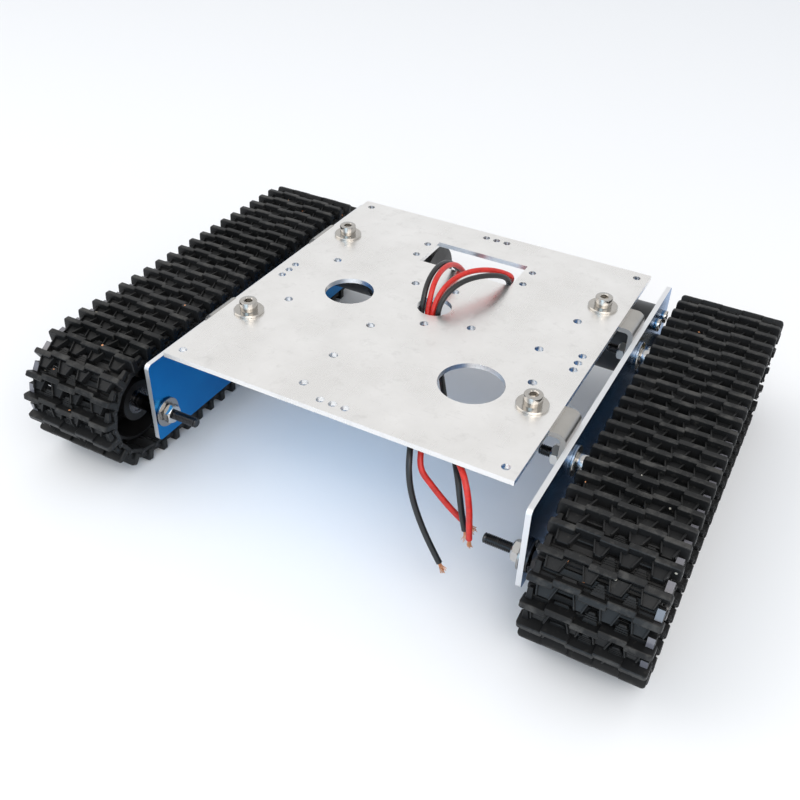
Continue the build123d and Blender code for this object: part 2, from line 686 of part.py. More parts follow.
# ---- write every piece --------------------------------------------------------------------
save("top_plate", make_deck())
save("deck_screws", make_deck_screws())
save("deck_washers", make_deck_washers())
save("deck_nuts", make_deck_nuts())
save_pair("bracket_front", make_bracket(BRACKET_Y[0]))
save_pair("bracket_rear", make_bracket(BRACKET_Y[1]))
save_pair("side_plate", make_side_plate())
save("bracket_bolts", make_bracket_bolts())
save("bracket_washers", make_bracket_washers())
save("bracket_nuts", make_bracket_nuts())

save_pair("gearbox", make_gearbox())
save_pair("motor_can", make_can())
save_pair("motor_end_cap", make_end_cap())
save("motor_terminals", make_terminals())
save("gearbox_screws", make_gearbox_screws())
save_pair("output_shaft", make_shaft())
save_pair("shaft_coupler", make_coupler())
save_pair("coupler_set_screw", make_set_screw())

save_pair("drive_sprocket", make_sprocket())
save_pair("sprocket_screw", make_sprocket_screw())
save_pair("sprocket_washer", make_sprocket_washer())
save_pair("idler_wheel", make_idler())
save_pair("idler_bearings", make_bearings())
save("axle_bolts", make_axle_bolts())
save("axle_washers", make_axle_washers())
save("axle_nuts", make_axle_nuts())
save_pair("axle_spacer", make_axle_spacer())

save_pair("track_links", make_track_links())
save_pair("track_pins", make_track_pins())

for lead_name in LEADS:
    save(lead_name, make_lead(lead_name))
    save(lead_name.replace("lead", "tip"), make_tip(lead_name))
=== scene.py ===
import json
import random
from collections import namedtuple
from math import cos, pi, radians, sin, sqrt

import bmesh
import bpy
from mathutils import Matrix, Vector

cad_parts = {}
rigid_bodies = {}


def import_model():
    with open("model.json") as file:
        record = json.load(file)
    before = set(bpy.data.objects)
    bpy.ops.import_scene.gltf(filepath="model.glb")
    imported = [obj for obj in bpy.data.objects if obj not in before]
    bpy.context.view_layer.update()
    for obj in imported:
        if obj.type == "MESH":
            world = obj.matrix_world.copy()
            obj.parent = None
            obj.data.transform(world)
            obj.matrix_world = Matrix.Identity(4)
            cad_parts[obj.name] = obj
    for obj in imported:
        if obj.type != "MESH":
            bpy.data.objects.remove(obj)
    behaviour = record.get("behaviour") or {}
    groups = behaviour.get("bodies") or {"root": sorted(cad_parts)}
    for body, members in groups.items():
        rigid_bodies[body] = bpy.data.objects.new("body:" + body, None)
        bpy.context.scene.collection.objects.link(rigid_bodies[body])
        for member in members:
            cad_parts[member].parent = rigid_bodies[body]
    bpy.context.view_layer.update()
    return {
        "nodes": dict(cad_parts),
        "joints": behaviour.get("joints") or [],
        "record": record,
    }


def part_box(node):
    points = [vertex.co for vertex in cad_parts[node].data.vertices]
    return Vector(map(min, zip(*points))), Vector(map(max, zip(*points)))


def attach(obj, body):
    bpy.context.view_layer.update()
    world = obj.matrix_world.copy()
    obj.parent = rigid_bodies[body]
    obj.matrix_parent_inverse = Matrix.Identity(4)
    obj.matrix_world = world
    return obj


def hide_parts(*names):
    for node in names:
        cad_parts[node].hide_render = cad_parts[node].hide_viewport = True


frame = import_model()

MM = 0.001
SIDES = (("left", -1), ("right", 1))
random.seed(7)


# ---- camera ---------------------------------------------------------------------------------
CAMERA_AT = (0.13742, -0.28508, 0.25405)
CAMERA_AZIMUTH, CAMERA_ELEVATION, CAMERA_ROLL = radians(27.36), radians(37.27), radians(1.91)
CAMERA_LENS, CAMERA_SENSOR = 41.94, 36.0


def make_camera():
    """The camera that the chassis is seen by: from the front right, above the tracks."""
    data = bpy.data.cameras.new("camera")
    data.lens, data.sensor_width = CAMERA_LENS, CAMERA_SENSOR
    data.clip_start, data.clip_end = 0.01, 20.0
    camera = bpy.data.objects.new("camera", data)
    bpy.context.scene.collection.objects.link(camera)
    aim = Matrix.Rotation(CAMERA_AZIMUTH, 4, "Z") @ Matrix.Rotation(pi / 2 - CAMERA_ELEVATION, 4, "X")
    roll = Matrix.Rotation(CAMERA_ROLL, 4, "Z")
    camera.matrix_world = Matrix.Translation(CAMERA_AT) @ aim @ roll
    bpy.context.scene.camera = camera


# ---- materials: noise scales are per metre --------------------------------------------------
GRAIN_DEPTH, TEXTURE_DEPTH, SHEET_DEPTH = 0.05 * MM, 0.1 * MM, 0.2 * MM


class Nodes:
    """A node tree, and short ways to add nodes to it."""

    def __init__(self, tree):
        self.tree = tree

    def node(self, kind, **settings):
        """A new node, with its own properties set."""
        made = self.tree.nodes.new(kind)
        for key, value in settings.items():
            setattr(made, key, value)
        return made

    def link(self, output, target):
        self.tree.links.new(output, target)

    def fill(self, socket, value):
        """Give a socket a number, a colour or another node's output."""
        if isinstance(value, (int, float)):
            socket.default_value = value
        elif isinstance(value, tuple):
            socket.default_value = (*value, 1.0)
        else:
            self.link(value, socket)

    def split(self, vector):
        """The X, Y and Z outputs of a vector."""
        split = self.node("ShaderNodeSeparateXYZ")
        self.link(vector, split.inputs["Vector"])
        return split.outputs

    def span(self, value, low, high, to_low=0.0, to_high=1.0):
        """Map a value's low..high to another range, held at its ends."""
        ramp = self.node("ShaderNodeMapRange")
        for socket, number in (("From Min", low), ("From Max", high),
                               ("To Min", to_low), ("To Max", to_high)):
            ramp.inputs[socket].default_value = number
        self.link(value, ramp.inputs["Value"])
        return ramp.outputs["Result"]

    def mix(self, factor, first, second):
        """A colour between two; its factor, first and second colours are inputs 0, 6 and 7."""
        mix = self.node("ShaderNodeMix", data_type="RGBA")
        for index, value in ((0, factor), (6, first), (7, second)):
            self.fill(mix.inputs[index], value)
        return mix.outputs[2]

    def maths(self, operation, first, second=0.0):
        maths = self.node("ShaderNodeMath", operation=operation)
        self.fill(maths.inputs[0], first)
        self.fill(maths.inputs[1], second)
        return maths.outputs["Value"]

    def add(self, first, second):
        return self.maths("ADD", first, second)

    def times(self, first, second):
        return self.maths("MULTIPLY", first, second)


class Shader(Nodes):
    """A new material with its Principled shader."""

    def __init__(self, name, colour, roughness, metallic=0.0, **sockets):
        self.material = bpy.data.materials.new(name)
        self.material.use_nodes = True
        super().__init__(self.material.node_tree)
        self.surface = self.tree.nodes["Principled BSDF"]
        self.fill(self.surface.inputs["Base Color"], colour)
        for socket, value in (("Roughness", roughness), ("Metallic", metallic), *sockets.items()):
            self.fill(self.surface.inputs[socket.replace("_", " ")], value)
        self.place = self.node("ShaderNodeTexCoord").outputs["Object"]

    def feed(self, socket, output):
        self.link(output, self.surface.inputs[socket])

    def stretched(self, *scale):
        """Object coordinates, scaled differently along each axis."""
        mapping = self.node("ShaderNodeMapping")
        mapping.inputs["Scale"].default_value = scale
        self.link(self.place, mapping.inputs["Vector"])
        return mapping.outputs["Vector"]

    def noise(self, scale, detail=3.0, roughness=0.5, vector=None):
        noise = self.node("ShaderNodeTexNoise")
        for socket, number in (("Scale", scale), ("Detail", detail), ("Roughness", roughness)):
            noise.inputs[socket].default_value = number
        self.link(vector or self.place, noise.inputs["Vector"])
        return noise.outputs["Fac"]

    def bump(self, height, strength, distance):
        bump = self.node("ShaderNodeBump")
        bump.inputs["Strength"].default_value = strength
        bump.inputs["Distance"].default_value = distance
        self.link(height, bump.inputs["Height"])
        self.feed("Normal", bump.outputs["Normal"])


def shaded(colour, share):
    """A colour made darker or lighter by a share."""
    return tuple(share * part for part in colour)


def worn_metal(name, colour, roughness, vary=0.08, grain=(900, 900, 900), metallic=1.0):
    """Metal with a fine grain, patches of duller surface and a faint change of tone."""
    shader = Shader(name, colour, roughness, metallic)
    fine = shader.noise(1.0, 4.0, 0.6, shader.stretched(*grain))
    patches = shader.noise(70.0, 5.0, 0.65)
    blend = shader.add(shader.times(fine, 0.4), shader.times(patches, 0.6))
    shader.feed("Roughness", shader.span(blend, 0.3, 0.7, roughness - vary, roughness + vary))
    dull = shader.span(patches, 0.35, 0.65)
    shader.feed("Base Color", shader.mix(dull, shaded(colour, 0.86), colour))
    shader.bump(fine, 0.05, GRAIN_DEPTH)
    return shader.material


def deck_metal():
    """Bare mill-finish sheet: cloudy blotches, faint rolling lines and a few short scratches."""
    dull, bright = (0.835, 0.825, 0.81), (0.915, 0.905, 0.893)
    blotched, scratched = (0.68, 0.67, 0.655), (0.64, 0.63, 0.63)
    shader = Shader("deck_sheet", (0.88, 0.87, 0.86), 0.40, 1.0)
    clouds = shader.noise(38.0, 6.0, 0.62)
    blots = shader.noise(160.0, 4.0, 0.7)
    lines = shader.noise(1.0, 3.0, 0.6, shader.stretched(1400.0, 45.0, 60.0))
    scratches = shader.noise(1.0, 2.0, 0.5, shader.stretched(90.0, 2600.0, 60.0))
    marks = shader.span(scratches, 0.70, 0.74)
    tone = shader.mix(shader.span(clouds, 0.36, 0.66), dull, bright)
    tone = shader.mix(shader.span(blots, 0.56, 0.74, 0.0, 0.45), tone, blotched)
    tone = shader.mix(shader.times(marks, 0.4), tone, scratched)
    shader.feed("Base Color", tone)
    rough = shader.span(clouds, 0.3, 0.7, 0.24, 0.36)
    rough = shader.add(rough, shader.span(lines, 0.3, 0.7, -0.03, 0.04))
    shader.feed("Roughness", shader.add(rough, shader.span(blots, 0.5, 0.75, 0.0, 0.07)))
    shader.bump(shader.add(shader.times(lines, 0.5), shader.times(clouds, 0.8)), 0.06, SHEET_DEPTH)
    return shader.material


def blue_plate_metal():
    """Blue anodised faces, which look along X, and bare bright cut edges."""
    deep, blue, bare = (0.005, 0.155, 0.43), (0.005, 0.190, 0.49), (0.82, 0.83, 0.85)
    shader = Shader("blue_anodised_sheet", blue, 0.24, 1.0)
    normal = shader.node("ShaderNodeNewGeometry").outputs["True Normal"]
    face = shader.maths("GREATER_THAN", shader.maths("ABSOLUTE", shader.split(normal)["X"]), 0.5)
    grain = shader.noise(900.0, 3.0, 0.6)
    cloud = shader.noise(45.0, 4.0, 0.6)
    dyed = shader.mix(shader.span(cloud, 0.35, 0.68), deep, blue)
    shader.feed("Base Color", shader.mix(face, bare, dyed))
    soft = shader.add(shader.span(grain, 0.3, 0.7, 0.18, 0.22), shader.span(cloud, 0.3, 0.7, 0.0, 0.06))
    cut = shader.times(shader.maths("SUBTRACT", 1.0, face), 0.22)
    shader.feed("Roughness", shader.add(soft, cut))
    return shader.material


def painted_shade_split_metal(name, inside, outside, edge_x, roughness):
    """A metal whose colour changes at a distance from the machine's middle, either side: painted light
    and shade on a fastener.
    """
    shader = Shader(name, inside, roughness, 1.0)
    across = shader.maths("ABSOLUTE", shader.split(shader.place)["X"])
    beyond = shader.maths("GREATER_THAN", across, edge_x)
    patches = shader.span(shader.noise(70.0, 5.0, 0.65), 0.35, 0.65)
    worn = [shader.mix(patches, shaded(tone, 0.86), tone) for tone in (inside, outside)]
    shader.feed("Base Color", shader.mix(beyond, *worn))
    return shader.material


def moulded_plastic(name, colour, roughness, level=0.5):
    """Moulded plastic with a fine spark-eroded texture and slightly uneven gloss."""
    shader = Shader(name, colour, roughness, Specular_IOR_Level=level)
    fine = shader.noise(1600.0, 2.0, 0.5)
    patch = shader.noise(120.0, 4.0, 0.6)
    shader.feed("Roughness", shader.span(patch, 0.3, 0.7, roughness - 0.09, roughness + 0.09))
    lighter = tuple(1.5 * part + 0.002 for part in colour)
    shader.feed("Base Color", shader.mix(shader.span(patch, 0.35, 0.72), colour, lighter))
    shader.bump(fine, 0.12, TEXTURE_DEPTH)
    return shader.material


def track_plastic():
    """Black track plastic: greyer on the crests, which real wear and a painted highlight lighten,
    dusty, with stray specks of grit.
    """
    blacker, greyer = (0.006, 0.0065, 0.007), (0.014, 0.0145, 0.0155)
    rubbed_and_highlit, dusty, painted_sheen = (0.082, 0.080, 0.076), (0.14, 0.132, 0.115), (0.15, 0.15, 0.175)
    sand, rust = (0.50, 0.48, 0.42), (0.60, 0.27, 0.13)
    shader = Shader("track_plastic", (0.010, 0.0105, 0.011), 0.42, Specular_IOR_Level=0.3)
    crest, tone, polish_and_sheen = (shader.node("ShaderNodeAttribute", attribute_name=key).outputs["Fac"]
                           for key in ("crest", "tone", "polish_and_sheen"))
    fine = shader.noise(1500.0, 2.0, 0.5)
    patch = shader.noise(150.0, 5.0, 0.65)
    # The crests' tops are lightened in patches: partly real wear, partly a painted highlight for the
    # light the crests catch.
    worn = shader.times(shader.span(crest, 0.88, 0.99), shader.span(patch, 0.48, 0.64, 0.0, 0.50))
    dust = shader.times(shader.span(shader.noise(420.0, 4.0, 0.7), 0.60, 0.76), 0.22)
    colour = shader.mix(tone, blacker, greyer)
    colour = shader.mix(worn, colour, rubbed_and_highlit)
    colour = shader.mix(dust, colour, dusty)
    # Painted reflection: the glossy edge flats are lightened with a bluish grey that stands for the
    # pale floor reflected in them.
    colour = shader.mix(shader.times(polish_and_sheen, 0.85), colour, painted_sheen)

    cells = shader.node("ShaderNodeTexVoronoi")
    cells.inputs["Scale"].default_value = 330.0
    shader.link(shader.place, cells.inputs["Vector"])
    pick = shader.node("ShaderNodeSeparateColor")
    shader.link(cells.outputs["Color"], pick.inputs["Color"])
    rare = shader.maths("GREATER_THAN", pick.outputs["Red"], 0.972)
    near = shader.maths("LESS_THAN", cells.outputs["Distance"], 0.16)
    grit = shader.mix(shader.maths("GREATER_THAN", pick.outputs["Green"], 0.40), sand, rust)
    shader.feed("Base Color", shader.mix(shader.times(rare, near), colour, grit))

    rough = shader.add(shader.span(patch, 0.3, 0.7, 0.30, 0.52), shader.times(dust, 0.6))
    shader.feed("Roughness", shader.times(rough, shader.span(polish_and_sheen, 0.0, 1.0, 1.0, 0.45)))
    shader.feed("Specular IOR Level", shader.span(polish_and_sheen, 0.0, 1.0, 0.22, 1.0))
    shader.bump(fine, 0.14, TEXTURE_DEPTH)
    return shader.material


def wire_insulation(name, colour, roughness):
    """Soft insulation: half gloss, with faint handling marks."""
    shader = Shader(name, colour, roughness, Specular_IOR_Level=0.5)
    marks = shader.noise(500.0, 4.0, 0.6)
    shader.feed("Base Color", shader.mix(shader.span(marks, 0.35, 0.65), shaded(colour, 0.72), colour))
    shader.feed("Roughness", shader.span(marks, 0.3, 0.7, roughness - 0.07, roughness + 0.10))
    shader.bump(marks, 0.08, TEXTURE_DEPTH)
    return shader.material


def make_materials():
    """Every finish, by the record's material slot."""
    return {
        "deck_aluminium": deck_metal(),
        "blue_anodised": blue_plate_metal(),
        "bracket_grey": worn_metal("bracket_sheet", (0.46, 0.445, 0.42), 0.33, grain=(60, 1500, 60)),
        "steel_bright": worn_metal("bright_steel", (0.54, 0.52, 0.49), 0.19, vary=0.05),
        "steel_black": worn_metal("black_oxide_steel", (0.060, 0.060, 0.062), 0.24),
        "zinc_nut": worn_metal("zinc_plate", (0.64, 0.64, 0.62), 0.17, vary=0.05),
        "gearbox_case": worn_metal("gearbox_enamel", (0.030, 0.031, 0.034), 0.38, metallic=0.3),
        "motor_steel": worn_metal("can_enamel", (0.016, 0.016, 0.018), 0.30, metallic=0.3),
        "cap_plastic": moulded_plastic("cap_plastic", (0.012, 0.012, 0.012), 0.45),
        "tab_brass": worn_metal("tinned_tab", (0.74, 0.66, 0.50), 0.32),
        "shaft_steel": worn_metal("ground_steel", (0.60, 0.60, 0.60), 0.22, grain=(1800, 60, 60)),
        "coupler_brass": worn_metal("turned_brass", (0.78, 0.56, 0.24), 0.28, grain=(2200, 60, 60)),
        "wheel_plastic": moulded_plastic("wheel_plastic", (0.006, 0.006, 0.0065), 0.48, level=0.3),
        "bearing_steel": worn_metal("bearing_steel", (0.12, 0.12, 0.125), 0.28),
        "track_plastic": track_plastic(),
        "pin_steel": worn_metal("blackened_pin", (0.030, 0.030, 0.032), 0.42, metallic=0.5),
        "lead_black": wire_insulation("black_insulation", (0.012, 0.013, 0.014), 0.36),
        "lead_red": wire_insulation("red_insulation", (0.62, 0.020, 0.012), 0.34),
        "copper_strand": worn_metal("copper_strand", (0.78, 0.38, 0.20), 0.30),
    }


def dress_nodes(materials):
    """Give every CAD node its finish."""
    for row in frame["record"]["subparts"]:
        for place in frame["nodes"][row["node"]].material_slots:
            place.material = materials[row["material_slot"]]


# ---- mesh helpers ---------------------------------------------------------------------------
def new_object(name, mesh, material, replaced, body="root"):
    """Put a mesh or curve in the scene, on its body, in place of a CAD node."""
    piece = bpy.data.objects.new(name, mesh)
    bpy.context.scene.collection.objects.link(piece)
    mesh.materials.append(material)
    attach(piece, body)
    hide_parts(replaced)
    return piece


def finish_mesh(bm, name, smooth_angle=35.0):
    """Turn a bmesh into a mesh whose shallow edges shade smooth."""
    bmesh.ops.recalc_face_normals(bm, faces=bm.faces)
    for face in bm.faces:
        face.smooth = True
    limit = radians(smooth_angle)
    for edge in bm.edges:
        edge.smooth = len(edge.link_faces) == 2 and edge.calc_face_angle(0.0) < limit
    mesh = bpy.data.meshes.new(name)
    bm.to_mesh(mesh)
    bm.free()
    return mesh


def skin(bm, loops, closed=False):
    """Faces between neighbouring loops of points, with the ends capped, or joined if closed."""
    around = len(loops[0])
    pairs = list(zip(loops, loops[1:]))
    if closed:
        pairs.append((loops[-1], loops[0]))
    for low, high in pairs:
        for k in range(around):
            nxt = (k + 1) % around
            bm.faces.new((low[k], low[nxt], high[nxt], high[k]))
    if not closed:
        bm.faces.new(loops[0][::-1])
        bm.faces.new(loops[-1])


def add_tube(bm, points, radius, sides):
    """A round closed tube along a list of points, in a bmesh."""
    loops, last = [], len(points) - 1
    for index, point in enumerate(points):
        along = (points[min(index + 1, last)] - points[max(index - 1, 0)]).normalized()
        side = side - along * side.dot(along) if loops else along.orthogonal()
        side.normalize()
        up = along.cross(side)
        turns = [2 * pi * k / sides for k in range(sides)]
        ring = [point + radius * (cos(turn) * side + sin(turn) * up) for turn in turns]
        loops.append([bm.verts.new(spot) for spot in ring])
    skin(bm, loops)


# ---- motor leads ----------------------------------------------------------------------------
LEAD_R = 0.0011
# Each lead's middle line, from its terminal to its stripped end: the same points as in the CAD.
ROUTES = {
    "lead_black_left": [
        (-0.023, 0.072, 0.031), (-0.015, 0.072, 0.0314), (-0.0094, 0.0668, 0.035),
        (-0.0078, 0.058, 0.042), (-0.0066, 0.0496, 0.0486), (-0.0058, 0.0418, 0.0556),
        (-0.0056, 0.034, 0.0624), (-0.0056, 0.0256, 0.0662), (-0.0052, 0.017, 0.067),
        (-0.0042, 0.009, 0.0652), (-0.0032, 0.004, 0.0604), (-0.003, 0.0022, 0.053),
        (-0.0012, -0.0044, 0.0468), (0.005, -0.017, 0.0446), (0.0134, -0.0336, 0.0456),
        (0.0212, -0.05, 0.0484), (0.0274, -0.063, 0.052), (0.0314, -0.0718, 0.052),
        (0.0336, -0.0766, 0.0462), (0.0358, -0.0776, 0.0372), (0.0396, -0.0784, 0.0284),
        (0.0441, -0.0792, 0.0206), (0.0486, -0.0798, 0.014)],
    "lead_red_left": [
        (-0.023, 0.062, 0.031), (-0.015, 0.062, 0.0316), (-0.0084, 0.0584, 0.0364),
        (-0.0044, 0.0508, 0.0454), (-0.0032, 0.0432, 0.054), (-0.003, 0.0354, 0.0612),
        (-0.003, 0.027, 0.0656), (-0.0026, 0.0182, 0.067), (-0.0016, 0.0104, 0.0662),
        (-0.0006, 0.005, 0.0622), (-0.0004, 0.0028, 0.0552), (0.001, -0.0032, 0.0484),
        (0.0072, -0.0146, 0.0448), (0.016, -0.032, 0.045), (0.0246, -0.0486, 0.0476),
        (0.0304, -0.06, 0.0506), (0.0336, -0.0678, 0.051), (0.0356, -0.0722, 0.0456),
        (0.0396, -0.0716, 0.0404), (0.045, -0.0714, 0.0348), (0.0502, -0.0712, 0.0302),
        (0.0538, -0.071, 0.0278)],
    "lead_red_right": [
        (0.023, 0.062, 0.031), (0.016, 0.062, 0.0312), (0.0112, 0.0586, 0.0356),
        (0.0124, 0.0528, 0.0432), (0.0162, 0.0482, 0.0512), (0.0196, 0.0428, 0.0584),
        (0.0172, 0.0366, 0.063), (0.0126, 0.0304, 0.066), (0.0078, 0.0228, 0.0674),
        (0.0046, 0.0152, 0.0668), (0.003, 0.0084, 0.0648), (0.0023, 0.0036, 0.0606),
        (0.002, 0.0016, 0.0544), (0.004, -0.0038, 0.0484), (0.0114, -0.0156, 0.045),
        (0.0224, -0.0335, 0.0454), (0.034, -0.0516, 0.0482), (0.0434, -0.064, 0.052),
        (0.051, -0.0728, 0.0534), (0.0552, -0.077, 0.0494), (0.0568, -0.0776, 0.0424),
        (0.0574, -0.0776, 0.035), (0.0578, -0.0775, 0.0282)],
    "lead_black_right": [
        (0.023, 0.072, 0.031), (0.0154, 0.072, 0.0312), (0.0086, 0.067, 0.0324),
        (0.0066, 0.0586, 0.035), (0.0106, 0.051, 0.0404), (0.0156, 0.0452, 0.0476),
        (0.019, 0.041, 0.0548), (0.0194, 0.0364, 0.0612), (0.017, 0.0292, 0.0652),
        (0.013, 0.0212, 0.0674), (0.0092, 0.014, 0.0676), (0.0062, 0.0072, 0.0654),
        (0.0048, 0.0026, 0.0612), (0.0044, 0.0018, 0.055), (0.007, -0.004, 0.0498),
        (0.0148, -0.0156, 0.0468), (0.026, -0.034, 0.0466), (0.0364, -0.051, 0.0466),
        (0.0434, -0.0624, 0.0482), (0.0492, -0.071, 0.047), (0.0518, -0.074, 0.0412),
        (0.0532, -0.0742, 0.034), (0.0544, -0.0737, 0.0276)],
}
STRANDS, STRAND_R, STRAND_L = 15, 0.00013, 0.0050
BUNDLE_R, BUNDLE_TWIST, FRAY = 0.00055, 1.6, 0.0016
STRAND_INSET = 0.0006               # the strands start inside the insulation
STRAND_STEPS, STRAND_SIDES = 6, 5


def make_strands(name, start, along, copper, replaced):
    """The bare strands at a lead's end, loosely twisted and frayed."""
    bm = bmesh.new()
    side = along.orthogonal().normalized()
    up = along.cross(side)
    for index in range(STRANDS):
        turn = 4 * pi * index / STRANDS
        reach = BUNDLE_R * sqrt((index + 0.5) / STRANDS)
        fray = random.uniform(0.0, 1.0) ** 2 * FRAY
        length = STRAND_L * random.uniform(0.72, 1.0)
        twist = BUNDLE_TWIST + random.uniform(-0.5, 0.5)
        points = []
        for part in [step / STRAND_STEPS for step in range(STRAND_STEPS + 1)]:
            angle = turn + twist * part
            radius = reach * (1.0 - 0.25 * part) + fray * part ** 2
            points.append(start + along * (length * part - STRAND_INSET)
                          + radius * (cos(angle) * side + sin(angle) * up))
        add_tube(bm, points, STRAND_R, STRAND_SIDES)
    mesh = finish_mesh(bm, name, smooth_angle=80.0)
    return new_object(name, mesh, copper, replaced)


def make_leads(materials):
    """Four insulated leads, each one smooth curve from its terminal to its stripped end."""
    for name, route in ROUTES.items():
        colour, side = name.split("_")[1:]
        curve = bpy.data.curves.new(f"insulation_{colour}_{side}", "CURVE")
        curve.dimensions = "3D"
        spline = curve.splines.new("NURBS")
        spline.points.add(len(route) - 1)
        for point, place in zip(spline.points, route):
            point.co = (*place, 1.0)
        spline.order_u, spline.use_endpoint_u, spline.resolution_u = 3, True, 8
        curve.bevel_depth, curve.bevel_resolution, curve.use_fill_caps = LEAD_R, 5, True
        before, end = Vector(route[-2]), Vector(route[-1])
        tip = make_strands(f"strands_{colour}_{side}", end, (end - before).normalized(),
                           materials["copper_strand"], f"tip_{colour}_{side}")
        piece = new_object(curve.name, curve, materials[f"lead_{colour}"], name)


# ---- screws, nuts and washers ---------------------------------------------------------------
AROUND = 48                         # points round a lathed piece: eight to each side of a hexagon
Screw = namedtuple("Screw", "head_r head_h shank_r socket pitch")
M4 = Screw(3.5 * MM, 4.0 * MM, 1.95 * MM, 3.0 * MM, 0.7 * MM)
M3 = Screw(2.75 * MM, 2.0 * MM, 1.45 * MM, 2.0 * MM, 0.5 * MM)
DECK_SCREW_L, BRACKET_BOLT_L, SPROCKET_SCREW_L, GEARBOX_SCREW_L = 10 * MM, 14 * MM, 12 * MM, 6 * MM
AXLE_TIP_X, AXLE_PLAIN_L = 61 * MM, 34 * MM
WASHER_R, WASHER_BORE, WASHER_T = 6.0 * MM, 2.15 * MM, 1.0 * MM
BRACKET_WASHER_R, AXLE_END_WASHER_R = 4.5 * MM, 3.4 * MM
NUT_AF, NUT_T, NUT_BORE = 7.0 * MM, 3.2 * MM, 1.99 * MM
NUT_CHAMFER = 3.2 * MM              # a corner's fall, for each share that it stands out by
BRACKET_T = 2.0 * MM
GEARBOX_SCREWS_R, GEARBOX_SCREW_ANGLES = 12.5 * MM, (48, 108, 168, 228)


def ring_point(kind, radius, height, index, lean=0.0):
    """A point of a lathed ring: round, knurled, or hexagonal with corners eased by lean."""
    turn = 2 * pi * index / AROUND
    if kind == "knurl":
        radius *= 0.972 if index % 2 else 1.0
    elif kind == "hex":
        off_flat = (turn + pi / 6) % (pi / 3) - pi / 6
        stretch = 1 / cos(off_flat)
        height += lean * (stretch - 1)
        radius *= stretch
    return Vector((radius * cos(turn), radius * sin(turn), height))


def lathe(bm, place, rings, closed=False):
    """Skin a stack of rings, each (kind, radius, height) or with a lean, and cap or close it."""
    loops = []
    for kind, radius, height, *lean in rings:
        loops.append([bm.verts.new(place @ ring_point(kind, radius, height, k, *lean))
                      for k in range(AROUND)])
    skin(bm, loops, closed)


def thread_rings(radius, start, length, pitch):
    """Rings of a thread's crests and roots, going down from start."""
    crest_root = ((1.0, 0.12), (1.0, 0.38), (0.86, 0.66), (0.86, 0.86))
    rings = []
    for turn in range(int((length - pitch) / pitch)):
        top = start - pitch * (turn + 0.1)
        rings += [("round", share * radius, top - fall * pitch) for share, fall in crest_root]
    end = start - length
    return rings + [("round", 0.98 * radius, end + 0.5 * pitch), ("round", 0.8 * radius, end)]


def add_cap_screw(bm, place, size, length, plain=0.0):
    """Socket cap screw whose head stands on z = 0 of its place."""
    radius, height, half = size.head_r, size.head_h, size.socket / 2
    lathe(bm, place, [
        ("round", 0.3 * half, 0.45 * height), ("hex", 0.98 * half, 0.50 * height),
        ("hex", half, 0.93 * height), ("round", 1.28 * half, height),
        ("round", 0.88 * radius, height), ("round", 0.96 * radius, 0.965 * height),
        ("knurl", radius, 0.90 * height), ("knurl", radius, 0.14 * height),
        ("round", 0.96 * radius, 0.05 * height), ("round", 0.95 * radius, 0.0),
        ("round", size.shank_r, 0.0), ("round", size.shank_r, -plain - 0.01 * MM),
        *thread_rings(size.shank_r, -plain, length - plain, size.pitch)])


def add_nut(bm, place):
    """Hexagon nut on z = 0 of its place, with its corners chamfered both ends."""
    half = NUT_AF / 2
    lathe(bm, place, [
        ("round", NUT_BORE, 0.0), ("round", 0.94 * half, 0.0),
        ("hex", half, 0.08 * NUT_T, NUT_CHAMFER), ("hex", half, 0.92 * NUT_T, -NUT_CHAMFER),
        ("round", 0.94 * half, NUT_T), ("round", 1.12 * NUT_BORE, NUT_T),
        ("round", NUT_BORE, 0.93 * NUT_T)], closed=True)


def add_washer(bm, place, outer=WASHER_R, thick=WASHER_T):
    """Pressed washer, or a sleeve: one edge rounded, the other with a slight burr line."""
    ease = 0.22 * min(thick, WASHER_T)
    lathe(bm, place, [
        ("round", WASHER_BORE, 0.0), ("round", outer - 0.4 * ease, 0.0), ("round", outer, 0.5 * ease),
        ("round", outer, thick - ease), ("round", outer - ease, thick),
        ("round", WASHER_BORE + ease, thick), ("round", WASHER_BORE, thick - ease)], closed=True)


def facing(direction, at):
    """A place whose z axis points along direction."""
    turn = Vector(direction).to_track_quat("Z", "Y").to_matrix().to_4x4()
    return Matrix.Translation(at) @ turn


def upright(x, y, z):
    """A place whose z axis points up."""
    return facing((0, 0, 1), (x, y, z))


def sideways(side, x, y, z):
    """A place at a distance x from the machine's middle, whose z axis points out to a side."""
    return facing((side, 0, 0), (side * x, y, z))


def middle(node):
    """The middle of a CAD node's box."""
    low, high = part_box(node)
    return [(a + b) / 2 for a, b in zip(low, high)]


def inner_x(node, side):
    """How far from the machine's middle a CAD node on one side starts."""
    low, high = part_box(node)
    return low[0] if side > 0 else -high[0]


def deck_screw_spots():
    """The X and the Y of the deck's screws, from the box round all four."""
    low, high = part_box("deck_screws")
    return [(low[axis] + M4.head_r, high[axis] - M4.head_r) for axis in (0, 1)]


def side_plate_faces():
    """How far from the machine's middle a side plate's two faces are."""
    low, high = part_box("side_plate_right")
    return low[0], high[0]


def deck_fasteners(group):
    """A screw, a washer and a nut at each corner of the deck."""
    deck_top, nut_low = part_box("top_plate")[1][2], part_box("deck_nuts")[0][2]
    screws = group("deck_cap_screws", "steel_bright", "deck_screws")
    discs = group("deck_plain_washers", "steel_bright", "deck_washers")
    nuts = group("deck_hex_nuts", "zinc_nut", "deck_nuts")
    across, along = deck_screw_spots()
    for x, y in [(x, y) for x in across for y in along]:
        add_washer(discs, upright(x, y, deck_top))
        add_cap_screw(screws, upright(x, y, deck_top + WASHER_T), M4, DECK_SCREW_L)
        add_nut(nuts, upright(x, y, nut_low))


